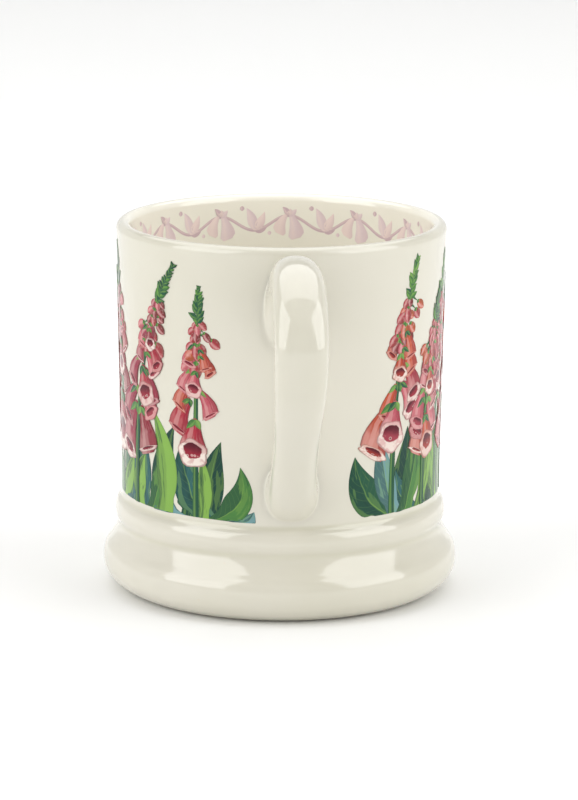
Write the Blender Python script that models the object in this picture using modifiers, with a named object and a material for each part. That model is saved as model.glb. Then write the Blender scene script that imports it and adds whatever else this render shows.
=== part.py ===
"""A half-pint ceramic mug in two cast pieces: a turned body and a strap handle.

The body has a rounded lip, an almost straight wall, a raised collar above a rounded base, and a
foot ring round a shallow recess. The handle springs level with the lip, drops in an ear shape and
runs back into the wall just above the collar.

Metres, +Z up. The origin is the middle of the mug's box on the surface it stands on, and the
handle points towards -Y, so the bowl's own axis stands a little towards +Y.
"""

import math

import bpy
import numpy as np

MM = 0.001

# Body, in millimetres from the bowl's axis and from the surface the mug stands on.
HEIGHT = 92.5
RIM_RADIUS = 41.0
LIP_THICKNESS = 3.6
WALL_THICKNESS = 3.4
WALL_FOOT_RADIUS = 39.7
WALL_FOOT_HEIGHT = 25.5
WALL_FLARE_POWER = 1.6
BASE_RADIUS = 44.4
BASE_HEIGHT = 7.5
COLLAR_RADIUS = 41.35
COLLAR_HEIGHT = 20.0
GROOVE_RADIUS = 40.75
GROOVE_HEIGHT = 16.8
FOOT_RADIUS = 37.8
FOOT_RING_WIDTH = 6.6
RECESS_DEPTH = 1.8
FLOOR_HEIGHT = 6.6
FLOOR_CORNER_RADIUS = 9.0
INNER_SWELL = 0.9
INNER_SWELL_TOP = 27.0
TURN_STEPS = 64

# Handle, as (reach from the bowl's axis, height) down its outer and its inner line, and its widths there.
HANDLE_OUTER_LINE = [
    (37.5, 86.0),
    (41.2, 88.5),
    (44.8, 91.4),
    (50.0, 92.4),
    (58.8, 90.7),
    (67.2, 85.4),
    (72.8, 75.5),
    (71.2, 65.8),
    (65.8, 56.4),
    (58.5, 48.0),
    (51.5, 39.6),
    (46.2, 31.8),
    (42.0, 26.6),
    (37.5, 25.2),
]
HANDLE_INNER_LINE = [
    (37.5, 65.6),
    (41.5, 67.4),
    (44.8, 74.8),
    (50.0, 80.6),
    (56.4, 82.2),
    (62.2, 79.3),
    (65.6, 73.4),
    (65.0, 66.0),
    (60.6, 58.8),
    (54.2, 52.2),
    (48.2, 46.6),
    (43.9, 42.6),
    (41.0, 40.2),
    (37.5, 39.4),
]
HANDLE_WIDTHS = [14.2, 14.0, 12.8, 12.6, 12.7, 12.7, 12.6, 12.3, 11.6, 10.8, 11.0, 12.8, 14.2, 14.2]
HANDLE_STATIONS_PER_SPAN = 3
HANDLE_SECTION_POINTS = 24
HANDLE_SECTION_POWER = 2.3
CLAY_GAP = 0.3

CREAM_GLAZE = (0.86, 0.83, 0.75, 1.0)


def clear_scene():
    """Removes every object of the startup scene."""
    for old_object in list(bpy.data.objects):
        bpy.data.objects.remove(old_object, do_unlink=True)


def new_collection(name):
    """A collection linked to the scene."""
    collection = bpy.data.collections.new(name)
    bpy.context.scene.collection.children.link(collection)
    return collection


def glaze(name):
    """A glossy cream glaze."""
    material = bpy.data.materials.new(name)
    material.use_nodes = True
    shader = material.node_tree.nodes["Principled BSDF"]
    shader.inputs["Base Color"].default_value = CREAM_GLAZE
    shader.inputs["Roughness"].default_value = 0.08
    shader.inputs["Metallic"].default_value = 0.0
    return material


def new_object(name, vertices, edges, faces, collection):
    """An object on a mesh whose vertices are in millimetres."""
    mesh = bpy.data.meshes.new(name)
    mesh.from_pydata([tuple(MM * np.array(vertex)) for vertex in vertices], edges, faces)
    mesh.update()
    made = bpy.data.objects.new(name, mesh)
    collection.objects.link(made)
    return made


def smooth_line(points, per_span):
    """A Catmull-Rom spline through the points, with per_span steps between two of them."""
    points = np.array(points, float)
    padded = np.vstack([2 * points[0] - points[1], points, 2 * points[-1] - points[-2]])
    line = []
    for start in range(len(points) - 1):
        before, here, after, beyond = padded[start : start + 4]
        for step in range(per_span):
            t = step / per_span
            line.append(
                0.5
                * (
                    2 * here
                    + (after - before) * t
                    + (2 * before - 5 * here + 4 * after - beyond) * t**2
                    + (3 * here - before - 3 * after + beyond) * t**3
                )
            )
    line.append(points[-1])
    return np.array(line)


def arc(centre, radius, start, end, steps):
    """Points on an arc between two angles in degrees, both ends included."""
    angles = np.radians(np.linspace(start, end, steps + 1))
    return np.column_stack([centre[0] + radius * np.cos(angles), centre[1] + radius * np.sin(angles)])


def wall_radius(height):
    """The outside of the wall, which flares a little towards the lip."""
    top = HEIGHT - LIP_THICKNESS / 2
    share = (height - WALL_FOOT_HEIGHT) / (top - WALL_FOOT_HEIGHT)
    return WALL_FOOT_RADIUS + (RIM_RADIUS - WALL_FOOT_RADIUS) * share**WALL_FLARE_POWER


def wall_outside():
    """The outside of the wall, from under the lip down to the collar."""
    heights = np.linspace(HEIGHT - LIP_THICKNESS / 2, WALL_FOOT_HEIGHT, 9)
    return np.column_stack([wall_radius(heights), heights])


def base_outside():
    """The collar, the groove under it and the rounded base, from the top down to the foot."""
    return smooth_line(
        [
            (WALL_FOOT_RADIUS, WALL_FOOT_HEIGHT),
            (WALL_FOOT_RADIUS + 0.2, 23.5),
            (COLLAR_RADIUS - 0.4, 22.0),
            (COLLAR_RADIUS, COLLAR_HEIGHT),
            (COLLAR_RADIUS - 0.15, 18.4),
            (GROOVE_RADIUS, GROOVE_HEIGHT),
            (GROOVE_RADIUS + 0.3, 15.2),
            (42.3, 12.9),
            (43.9, 10.4),
            (BASE_RADIUS, BASE_HEIGHT),
            (43.9, 4.7),
            (42.2, 2.4),
            (39.9, 0.8),
            (FOOT_RADIUS, 0.0),
        ],
        2,
    )


def body_inside():
    """The hollow, from the middle of its floor out and up to the lip."""
    corner_radius = WALL_FOOT_RADIUS - WALL_THICKNESS + INNER_SWELL
    corner = (corner_radius - FLOOR_CORNER_RADIUS, FLOOR_HEIGHT + FLOOR_CORNER_RADIUS)
    floor = [(0.0, FLOOR_HEIGHT), (15.0, FLOOR_HEIGHT)]
    corner_line = arc(corner, FLOOR_CORNER_RADIUS, -90, 0, 7)
    neck = smooth_line(
        [
            (corner_radius, INNER_SWELL_TOP - 10.0),
            (corner_radius - 0.5 * INNER_SWELL, INNER_SWELL_TOP - 5.5),
            (WALL_FOOT_RADIUS - WALL_THICKNESS, INNER_SWELL_TOP),
        ],
        2,
    )
    heights = np.linspace(INNER_SWELL_TOP + 7.0, HEIGHT - LIP_THICKNESS / 2, 8)
    share = (heights - heights[0]) / (heights[-1] - heights[0])
    thickness = WALL_THICKNESS + (LIP_THICKNESS - WALL_THICKNESS) * share
    wall = np.column_stack([wall_radius(heights) - thickness, heights])
    return np.vstack([floor, corner_line, neck, wall])


def lip():
    """The rounded lip, over the top from the inside to the outside."""
    half = LIP_THICKNESS / 2
    return arc((RIM_RADIUS - half, HEIGHT - half), half, 180, 0, 8)[1:-1]


def underside():
    """The foot ring and the recess inside it, in to the axis."""
    ring_inside = FOOT_RADIUS - FOOT_RING_WIDTH
    return [
        (ring_inside, 0.0),
        (ring_inside - 0.6, 0.5),
        (ring_inside - 1.6, RECESS_DEPTH),
        (0.0, RECESS_DEPTH),
    ]


def build_bowl_axis(collection):
    """An empty on the bowl's axis, placed so that the mug's box is centred on the origin."""
    handle_reach = smooth_line(HANDLE_OUTER_LINE, HANDLE_STATIONS_PER_SPAN)[:, 0].max()
    axis = bpy.data.objects.new("bowl_axis", None)
    axis.location.y = MM * (handle_reach - BASE_RADIUS) / 2
    collection.objects.link(axis)
    return axis


def turn(name, profile, collection, axis):
    """A solid turned about the bowl's axis from a profile that runs down its outer side."""
    vertices = [(radius, 0.0, height) for radius, height in profile]
    edges = [(index, index + 1) for index in range(len(vertices) - 1)]
    turned = new_object(name, vertices, edges, [], collection)
    turned.parent = axis
    screw = turned.modifiers.new("turn", "SCREW")
    screw.axis = "Z"
    screw.angle = math.tau
    screw.steps = TURN_STEPS
    screw.render_steps = TURN_STEPS
    screw.use_merge_vertices = True
    screw.merge_threshold = 0.00001
    screw.use_smooth_shade = True
    return turned


def build_body(collection, axis):
    """The cast body: bowl, lip, collar, base and foot ring in one piece."""
    profile = np.vstack([body_inside(), lip(), wall_outside(), base_outside()[1:], underside()])
    body = turn("mug_body", profile, collection, axis)
    body.data.materials.append(glaze("body_glaze"))
    return body


def build_clearance(collection, axis):
    """The outside of the wall with the clay gap added, which trims the handle's two roots."""
    profile = [
        (0.0, HEIGHT + 10.0),
        (RIM_RADIUS + CLAY_GAP, HEIGHT + 10.0),
        *[(radius + CLAY_GAP, height) for radius, height in wall_outside()],
        (WALL_FOOT_RADIUS + CLAY_GAP, 10.0),
        (0.0, 10.0),
    ]
    cutter = turn("body_clearance", profile, collection, axis)
    cutter.hide_render = True
    cutter.display_type = "WIRE"
    return cutter


def handle_rings():
    """Flattened oval sections between the handle's outer and inner lines, from the top root down."""
    outer = smooth_line(HANDLE_OUTER_LINE, HANDLE_STATIONS_PER_SPAN)
    inner = smooth_line(HANDLE_INNER_LINE, HANDLE_STATIONS_PER_SPAN)
    widths = smooth_line([(width, 0.0) for width in HANDLE_WIDTHS], HANDLE_STATIONS_PER_SPAN)[:, 0]
    angles = np.linspace(0, math.tau, HANDLE_SECTION_POINTS, endpoint=False)
    power = 2 / HANDLE_SECTION_POWER
    along = np.sign(np.cos(angles)) * np.abs(np.cos(angles)) ** power
    across = np.sign(np.sin(angles)) * np.abs(np.sin(angles)) ** power
    middle = (outer + inner)[:, None, :] / 2
    half = (outer - inner)[:, None, :] / 2
    reach_and_height = middle + half * along[None, :, None]
    sideways = widths[:, None] / 2 * across[None, :]
    return np.stack([sideways, -reach_and_height[..., 0], reach_and_height[..., 1]], axis=-1)


def build_handle(collection, axis, clearance):
    """The cast strap handle, trimmed to the wall at both roots."""
    rings = handle_rings()
    count, around = rings.shape[:2]
    faces = [tuple(range(around))]
    for ring in range(count - 1):
        for point in range(around):
            beside = (point + 1) % around
            low, high = ring * around, (ring + 1) * around
            faces.append((low + point, high + point, high + beside, low + beside))
    faces.append(tuple(reversed(range((count - 1) * around, count * around))))
    handle = new_object("mug_handle", rings.reshape(-1, 3), [], faces, collection)
    handle.parent = axis
    trim = handle.modifiers.new("trim_to_wall", "BOOLEAN")
    trim.operation = "DIFFERENCE"
    trim.object = clearance
    handle.data.shade_smooth()
    handle.data.set_sharp_from_angle(angle=math.radians(35))
    handle.data.materials.append(glaze("handle_glaze"))
    return handle


def main():
    clear_scene()
    mug = new_collection("mug")
    cutters = new_collection("cutters")
    axis = build_bowl_axis(mug)
    build_body(mug, axis)
    build_handle(mug, axis, build_clearance(cutters, axis))


main()
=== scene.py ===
"""Looks of a half-pint ceramic mug: a smooth cast body and handle under a glossy cream glaze.

A band of foxgloves is printed round the wall, and a lilac garland runs inside the lip. Each printed
shape is a closed film laid on the wall. Films that overlap lie in layers, and the topmost is a third
of a millimetre over the wall.

Metres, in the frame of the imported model: +Z up, the handle towards -Y, the bowl's axis at BOWL_Y.
"""

import math

import bpy
import numpy as np
from mathutils import Matrix, Vector


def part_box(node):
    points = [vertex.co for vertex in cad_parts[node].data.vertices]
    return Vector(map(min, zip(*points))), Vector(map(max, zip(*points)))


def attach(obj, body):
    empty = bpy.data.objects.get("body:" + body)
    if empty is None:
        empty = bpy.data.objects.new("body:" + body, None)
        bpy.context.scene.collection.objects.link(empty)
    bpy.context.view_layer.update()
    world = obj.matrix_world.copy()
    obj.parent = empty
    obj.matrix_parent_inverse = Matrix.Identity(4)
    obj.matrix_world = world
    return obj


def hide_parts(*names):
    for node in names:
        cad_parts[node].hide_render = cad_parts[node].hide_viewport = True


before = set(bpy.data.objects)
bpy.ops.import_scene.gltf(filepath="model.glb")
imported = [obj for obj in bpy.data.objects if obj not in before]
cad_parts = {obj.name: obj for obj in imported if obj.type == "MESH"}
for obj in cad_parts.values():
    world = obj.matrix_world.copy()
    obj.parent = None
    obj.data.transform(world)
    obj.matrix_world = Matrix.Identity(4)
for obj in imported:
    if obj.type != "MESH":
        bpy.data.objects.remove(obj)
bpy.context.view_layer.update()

MM = 0.001

# ---------------------------------------------------------------------------- sizes from the frame

body_low, body_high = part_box("mug_body")
handle_low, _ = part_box("mug_handle")
BOWL_Y = (body_low.y + body_high.y) / 2
HEIGHT = body_high.z
BASE_RADIUS = (body_high.x - body_low.x) / 2
RIM_RADIUS = BASE_RADIUS - 3.4 * MM
HANDLE_REACH = BOWL_Y - handle_low.y

# ---------------------------------------------------------------------------- the cast body

LIP_THICKNESS = 3.6 * MM
WALL_THICKNESS = 3.4 * MM
WALL_FOOT_RADIUS = 39.7 * MM
WALL_FOOT_HEIGHT = 25.5 * MM
WALL_FLARE_POWER = 1.6
COLLAR_RADIUS = 41.35 * MM
GROOVE_RADIUS = 40.75 * MM
GROOVE_HEIGHT = 16.8 * MM
COLLAR_TOP = 23.6 * MM
FOOT_RADIUS = 37.8 * MM
FOOT_RING_WIDTH = 6.6 * MM
RECESS_DEPTH = 1.8 * MM
FLOOR_HEIGHT = 6.6 * MM
FLOOR_CORNER_RADIUS = 9.0 * MM
INNER_SWELL = 0.9 * MM
INNER_SWELL_TOP = 27.0 * MM
BODY_AROUND = 288

# ---------------------------------------------------------------------------- the handle

# (reach from the bowl's axis, height) down the outer and the inner side, and the width there, in mm.
HANDLE_OUTER_LINE = [
    (37.5, 86.0), (41.2, 88.5), (44.8, 91.4), (50.0, 92.4), (58.8, 90.7),
    (67.2, 85.4), (72.8, 75.5), (71.2, 65.8), (65.8, 56.4), (58.5, 48.0),
    (51.5, 39.6), (46.2, 31.8), (42.0, 26.6), (37.5, 25.2),
]
HANDLE_INNER_LINE = [
    (37.5, 65.6), (41.5, 67.4), (44.8, 74.8), (50.0, 80.6), (56.4, 82.2),
    (62.2, 79.3), (65.6, 73.4), (65.0, 66.0), (60.6, 58.8), (54.2, 52.2),
    (48.2, 46.6), (43.9, 42.6), (41.0, 40.2), (37.5, 39.4),
]
HANDLE_WIDTHS = [13.0, 12.9, 12.7, 12.6, 12.7, 12.7, 12.6, 12.3, 11.6, 10.8, 10.8, 11.4, 12.0, 12.0]
HANDLE_STATIONS_PER_SPAN = 32
HANDLE_SECTION_POINTS = 72
HANDLE_SECTION_POWER = 2.3
HANDLE_SMOOTHING = 160
ROOT_REACH = 5.0 * MM
ROOT_SWELL = 1.5 * MM
ROOT_BLEND = 2.2 * MM

# ---------------------------------------------------------------------------- the print

SEED = 18
PRINT_RADIUS = 40.0 * MM
PER_DEGREE = math.radians(1) * PRINT_RADIUS
PRINT_FOOT = 24.8 * MM
PRINT_EDGE = 0.6 * MM
PRINT_SPECULAR = 0.15

# How far each film's underside lies in the clay, and how far the films lie over the wall and over
# one another: leaves below, then the plants of rank 0, then those of rank 1.
FILM_SUNK = 0.02 * MM
LEAF_LIFT = 0.008 * MM
LEAF_TONE_STEP = 0.010 * MM
LEAF_STEP = 0.0025 * MM
PLANT_LIFT = 0.077 * MM
RANK_STEP = 0.132 * MM
STEM_DROP = 0.006 * MM
BELL_TILT = 0.030 * MM
BELL_STEP = 0.040 * MM
TIER_STEP = 0.0045 * MM
MOUTH_RISE = 0.013 * MM
SEPAL_RISE = 0.026 * MM
BUD_LIFT = 0.010 * MM
BUD_STEP = 0.013 * MM
BUD_TILT = 0.02 * MM
CAP_RISE = 0.006 * MM
TIP_LIFT = 0.008 * MM
TIP_STEP = 0.010 * MM

# Shares of a stem's height at which its bells, its buds and its green tip begin.
BELLS_FROM = 0.36
BUDS_FROM = 0.68
TIP_FROM = 0.84

# The power with which a stem's lean grows towards its tip.
STEM_BEND = 2.5

GARLAND_REPEATS = 13
GARLAND_HEIGHT = 85.2 * MM
GARLAND_WAVE = 1.9 * MM


def srgb(red, green, blue):
    """A colour given as it looks on screen, 0 to 255, turned into Blender's linear values."""
    shares = np.array([red, green, blue]) / 255
    linear = np.where(shares <= 0.04045, shares / 12.92, ((shares + 0.055) / 1.055) ** 2.4)
    return (*linear, 1.0)


CREAM = srgb(214, 210, 196)
# A greener, darker cream for random clouds and the bare clay, and along the groove and the collar's top both
# pooled glaze and painted shade.
CREAM_POOLED = srgb(199, 196, 174)
# Much paler than CREAM: painted light, the same glaze made brighter inside the bowl.
CREAM_PAINTED_LIGHT_INSIDE = srgb(252, 248, 234)
BISCUIT = srgb(214, 203, 182)

ROSE = srgb(164, 46, 60)
CRIMSON = srgb(130, 26, 44)
CORAL = srgb(184, 78, 48)
PINK = srgb(188, 88, 100)
MAGENTA = srgb(148, 40, 68)
BLUSH = srgb(206, 144, 148)
PETAL_LIGHT = srgb(226, 192, 186)
PETAL_WHITE = srgb(232, 220, 210)
THROAT = srgb(128, 24, 44)
THROAT_DARK = srgb(84, 16, 32)
OUTLINE = srgb(92, 82, 72)

LEAF_DEEP = srgb(26, 64, 54)
LEAF_DARK = srgb(38, 84, 62)
LEAF_MID = srgb(72, 122, 62)
LEAF_LIGHT = srgb(128, 170, 78)
LEAF_BLUE = srgb(46, 94, 94)
LEAF_MIST = srgb(110, 150, 154)
BUD_GREEN = srgb(112, 154, 80)

LILAC = srgb(232, 213, 214)
LILAC_DEEP = srgb(208, 182, 188)
LILAC_PINK = srgb(240, 220, 214)


# ---------------------------------------------------------------------------- shapes in numpy


def smooth_line(points, per_span):
    """A Catmull-Rom spline through the points: between two of them, the cubic whose slope at each
    point is half the step between that point's two neighbours."""
    points = np.array(points, float)
    padded = np.vstack([2 * points[0] - points[1], points, 2 * points[-1] - points[-2]])
    t = (np.arange(per_span) / per_span)[None, :, None]
    before, here, after, beyond = (padded[k : k + len(points) - 1, None] for k in range(4))
    spans = 0.5 * (
        2 * here
        + (after - before) * t
        + (2 * before - 5 * here + 4 * after - beyond) * t**2
        + (3 * here - before - 3 * after + beyond) * t**3
    )
    return np.vstack([spans.reshape(-1, points.shape[1]), points[-1:]])


def relaxed(line, rounds):
    """The line with each inner point moved, again and again, halfway to the mean of its neighbours."""
    line = line.copy()
    for _ in range(rounds):
        line[1:-1] = (line[:-2] + 2 * line[1:-1] + line[2:]) / 4
    return line


def arc(centre, radius, start, end, steps):
    """Points on an arc between two angles in degrees, both ends included."""
    angles = np.radians(np.linspace(start, end, steps + 1))
    return np.column_stack([centre[0] + radius * np.cos(angles), centre[1] + radius * np.sin(angles)])


def unit(vectors):
    """The vectors scaled to length 1."""
    return vectors / np.linalg.norm(vectors, axis=-1, keepdims=True).clip(1e-9)


def revolved(profile, around, centre_y):
    """Rings of points: the (radius, height) profile turned about the vertical line at centre_y."""
    angles = np.linspace(0, math.tau, around, endpoint=False)
    radius, height = profile[:, None, 0], profile[:, None, 1]
    x, y = radius * np.cos(angles), centre_y + radius * np.sin(angles)
    return np.stack([x, y, height + 0 * angles], axis=-1)


def ease(low, high, value):
    """0 below low, 1 above high, and the curve 3x^2 - 2x^3 between them."""
    share = np.clip((value - low) / (high - low), 0, 1)
    return share * share * (3 - 2 * share)


def wall_radius(height):
    """Outside of the wall: the foot's radius plus the flare times a power of the height's share."""
    top = HEIGHT - LIP_THICKNESS / 2
    share = np.clip((height - WALL_FOOT_HEIGHT) / (top - WALL_FOOT_HEIGHT), 0, 1)
    return WALL_FOOT_RADIUS + (RIM_RADIUS - WALL_FOOT_RADIUS) * share**WALL_FLARE_POWER


def inner_radius(height):
    """Inside of the wall: the outside less a thickness that grows a little towards the lip."""
    start = INNER_SWELL_TOP + 7 * MM
    share = np.clip((height - start) / (HEIGHT - LIP_THICKNESS / 2 - start), 0, 1)
    return wall_radius(height) - WALL_THICKNESS - (LIP_THICKNESS - WALL_THICKNESS) * share


def outside_line():
    """(radius, height) down the outside, from just under the lip to the foot ring."""
    down = np.linspace(HEIGHT - LIP_THICKNESS / 2, WALL_FOOT_HEIGHT, 34)
    base = smooth_line(
        [
            (WALL_FOOT_RADIUS, WALL_FOOT_HEIGHT),
            (WALL_FOOT_RADIUS + 0.2 * MM, 23.5 * MM),
            (COLLAR_RADIUS - 0.4 * MM, 22.0 * MM),
            (COLLAR_RADIUS, 20.0 * MM),
            (COLLAR_RADIUS - 0.15 * MM, 18.4 * MM),
            (GROOVE_RADIUS, GROOVE_HEIGHT),
            (GROOVE_RADIUS + 0.3 * MM, 15.2 * MM),
            (BASE_RADIUS - 2.1 * MM, 12.9 * MM),
            (BASE_RADIUS - 0.5 * MM, 10.4 * MM),
            (BASE_RADIUS, 7.5 * MM),
            (BASE_RADIUS - 0.5 * MM, 4.7 * MM),
            (BASE_RADIUS - 2.2 * MM, 2.4 * MM),
            (BASE_RADIUS - 4.5 * MM, 0.8 * MM),
            (FOOT_RADIUS, 0.0),
        ],
        7,
    )
    return np.vstack([np.column_stack([wall_radius(down), down]), base[1:]])


def body_profile():
    """(radius, height) from the middle of the bowl's floor, up the inside, over the lip, down the
    outside and in under the foot to the axis again."""
    corner_radius = WALL_FOOT_RADIUS - WALL_THICKNESS + INNER_SWELL
    corner = (corner_radius - FLOOR_CORNER_RADIUS, FLOOR_HEIGHT + FLOOR_CORNER_RADIUS)
    floor = np.column_stack([np.linspace(0, corner[0], 10), np.full(10, FLOOR_HEIGHT)])
    neck = smooth_line(
        [
            (corner_radius, INNER_SWELL_TOP - 10 * MM),
            (corner_radius - 0.5 * INNER_SWELL, INNER_SWELL_TOP - 5.5 * MM),
            (WALL_FOOT_RADIUS - WALL_THICKNESS, INNER_SWELL_TOP),
        ],
        8,
    )
    half = LIP_THICKNESS / 2
    up = np.linspace(INNER_SWELL_TOP + 7 * MM, HEIGHT - half, 28)
    ring_inside = FOOT_RADIUS - FOOT_RING_WIDTH
    ring = np.column_stack([np.linspace(FOOT_RADIUS, ring_inside, 8), np.zeros(8)])
    edge_round = 0.5 * MM
    ring_edge = arc((ring_inside, edge_round), edge_round, -90, -180, 5)
    recess_radius = 1.1 * MM
    recess_centre = (ring_inside - edge_round - recess_radius, RECESS_DEPTH - recess_radius)
    recess_edge = arc(recess_centre, recess_radius, 0, 90, 7)
    recess = np.column_stack([np.linspace(recess_centre[0], 0, 9), np.full(9, RECESS_DEPTH)])
    return np.vstack(
        [
            floor,
            arc(corner, FLOOR_CORNER_RADIUS, -90, 0, 18)[1:],
            neck[1:],
            np.column_stack([inner_radius(up), up]),
            arc((RIM_RADIUS - half, HEIGHT - half), half, 180, 0, 24)[1:-1],
            outside_line(),
            ring[1:],
            ring_edge[1:],
            recess_edge,
            recess[1:],
        ]
    )


def handle_rings():
    """Sections of the handle from its upper root to its lower one.

    Each is a superellipse between the outer and the inner line, as wide as the width there. Within
    the reach R of the wall it swells outwards along a quarter ellipse, by S (1 - sqrt(1 - e^2)) with
    e = 1 - d / R at the distance d, so that the roots run into the wall in a soft fillet."""
    width_points = [(width, 0.0) for width in HANDLE_WIDTHS]
    outer, inner, width_line = (
        relaxed(smooth_line(points, HANDLE_STATIONS_PER_SPAN), HANDLE_SMOOTHING) * MM
        for points in (HANDLE_OUTER_LINE, HANDLE_INNER_LINE, width_points)
    )
    outer[:, 0] *= HANDLE_REACH / outer[:, 0].max()
    angles = np.linspace(0, math.tau, HANDLE_SECTION_POINTS, endpoint=False)
    waves = np.stack([np.cos(angles), np.sin(angles)])
    along, across = np.sign(waves) * np.abs(waves) ** (2 / HANDLE_SECTION_POWER)
    middle = (outer + inner)[:, None, :] / 2
    in_plane = (outer - inner)[:, None, :] / 2 * along[None, :, None]
    sideways = width_line[:, :1] / 2 * across[None, :]
    spoke = np.stack([sideways, -in_plane[..., 0], in_plane[..., 1]], axis=-1)
    centre = np.stack([0 * middle[..., 0], -middle[..., 0], middle[..., 1]], axis=-1)
    rings = centre + spoke
    distance = np.hypot(rings[..., 0], rings[..., 1]) - wall_radius(rings[..., 2])
    nearness = np.clip(1 - distance / ROOT_REACH, 0, 1)
    swell = ROOT_SWELL * (1 - np.sqrt(1 - nearness**2))
    outwards = unit(spoke * (1.0, 0.25, 1.0))
    return rings + outwards * swell[..., None] + (0, BOWL_Y, 0)


# ---------------------------------------------------------------------------- meshes


def placed(name, data):
    """An object with this data, in the scene."""
    made = bpy.data.objects.new(name, data)
    bpy.context.scene.collection.objects.link(made)
    return made


def new_piece(name, points, faces, material):
    """A closed mesh that rides on the mug, with smooth shading. faces holds one array for each
    number of corners."""
    mesh = bpy.data.meshes.new(name)
    mesh.vertices.add(len(points))
    mesh.vertices.foreach_set("co", points.astype(np.float32).ravel())
    corners = np.concatenate([group.ravel() for group in faces]).astype(np.int32)
    sizes = np.concatenate([np.full(len(group), group.shape[1]) for group in faces])
    starts = np.concatenate([[0], np.cumsum(sizes)[:-1]]).astype(np.int32)
    mesh.loops.add(len(corners))
    mesh.loops.foreach_set("vertex_index", corners)
    mesh.polygons.add(len(sizes))
    mesh.polygons.foreach_set("loop_start", starts)
    mesh.update(calc_edges=True)
    mesh.validate()
    mesh.shade_smooth()
    mesh.materials.append(material)
    made = placed(name, mesh)
    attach(made, "root")
    return made


def lattice(rows, columns, wrapped):
    """Quads of a grid of rows by columns points, joined round from last column to first if wrapped."""
    row, column = np.meshgrid(
        np.arange(rows - 1), np.arange(columns if wrapped else columns - 1), indexing="ij"
    )
    beside = (column + 1) % columns
    low, high = row * columns, (row + 1) * columns
    return np.stack([low + column, low + beside, high + beside, high + column], -1).reshape(-1, 4)


def fan(start, around, pole):
    """Triangles between a ring of points, which begins at the index start, and one pole."""
    ring = np.arange(around)
    return np.stack([start + ring, start + (ring + 1) % around, np.full(around, pole)], -1)


def build_body(material):
    """The body: its profile turned about the bowl's axis, with a fan of triangles at each pole."""
    profile = body_profile()
    rings = revolved(profile[1:-1], BODY_AROUND, BOWL_Y)
    count = len(rings) * BODY_AROUND
    quads = lattice(len(rings), BODY_AROUND, wrapped=True)
    floor_fan = fan(0, BODY_AROUND, count)[:, ::-1]
    under_fan = fan(count - BODY_AROUND, BODY_AROUND, count + 1)
    poles = [(0, BOWL_Y, height) for _, height in profile[[0, -1]]]
    points = np.vstack([rings.reshape(-1, 3), poles])
    body = new_piece("mug_body_glazed", points, [quads, floor_fan, under_fan], material)
    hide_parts("mug_body")


def build_handle(material):
    """The handle: its sections joined into a skin, and a fan over each end inside the wall."""
    rings = handle_rings()
    sections, around = rings.shape[:2]
    count = sections * around
    quads = lattice(sections, around, wrapped=True)[:, ::-1]
    top_fan = fan(0, around, count)
    low_fan = fan(count - around, around, count + 1)[:, ::-1]
    points = np.vstack([rings.reshape(-1, 3), rings[0].mean(0), rings[-1].mean(0)])
    handle = new_piece("mug_handle_glazed", points, [quads, top_fan, low_fan], material)
    blend_root_normals(handle.data, points)
    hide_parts("mug_handle")


def blend_root_normals(mesh, points):
    """Near the wall the handle's normals turn into the wall's, so that the glaze runs on unbroken."""
    own = np.empty(len(points) * 3, np.float32)
    mesh.vertex_normals.foreach_get("vector", own)
    own = own.reshape(-1, 3)
    spoke = points - (0, BOWL_Y, 0)
    distance = np.hypot(spoke[:, 0], spoke[:, 1]) - wall_radius(spoke[:, 2])
    share = 1 - ease(0.0, ROOT_BLEND, distance)[:, None]
    blended = own * (1 - share) + unit(spoke * (1, 1, 0)) * share
    mesh.normals_split_custom_set_from_vertices(unit(blended))


# ---------------------------------------------------------------------------- printed films


def outside_wall(across, height, lift):
    """A point of the print on the outside: across is an arc length from the handle's side."""
    angle = across / PRINT_RADIUS
    line = outside_line()[::-1]
    radius = np.interp(height, line[:, 1], line[:, 0]) + lift
    return np.stack([radius * np.sin(angle), BOWL_Y - radius * np.cos(angle), height], -1)


def inside_wall(across, height, lift):
    """A point of the print on the inside, where the arc runs the other way round."""
    angle = math.pi - across / PRINT_RADIUS
    radius = inner_radius(height) - lift
    return np.stack([radius * np.sin(angle), BOWL_Y - radius * np.cos(angle), height], -1)


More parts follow.
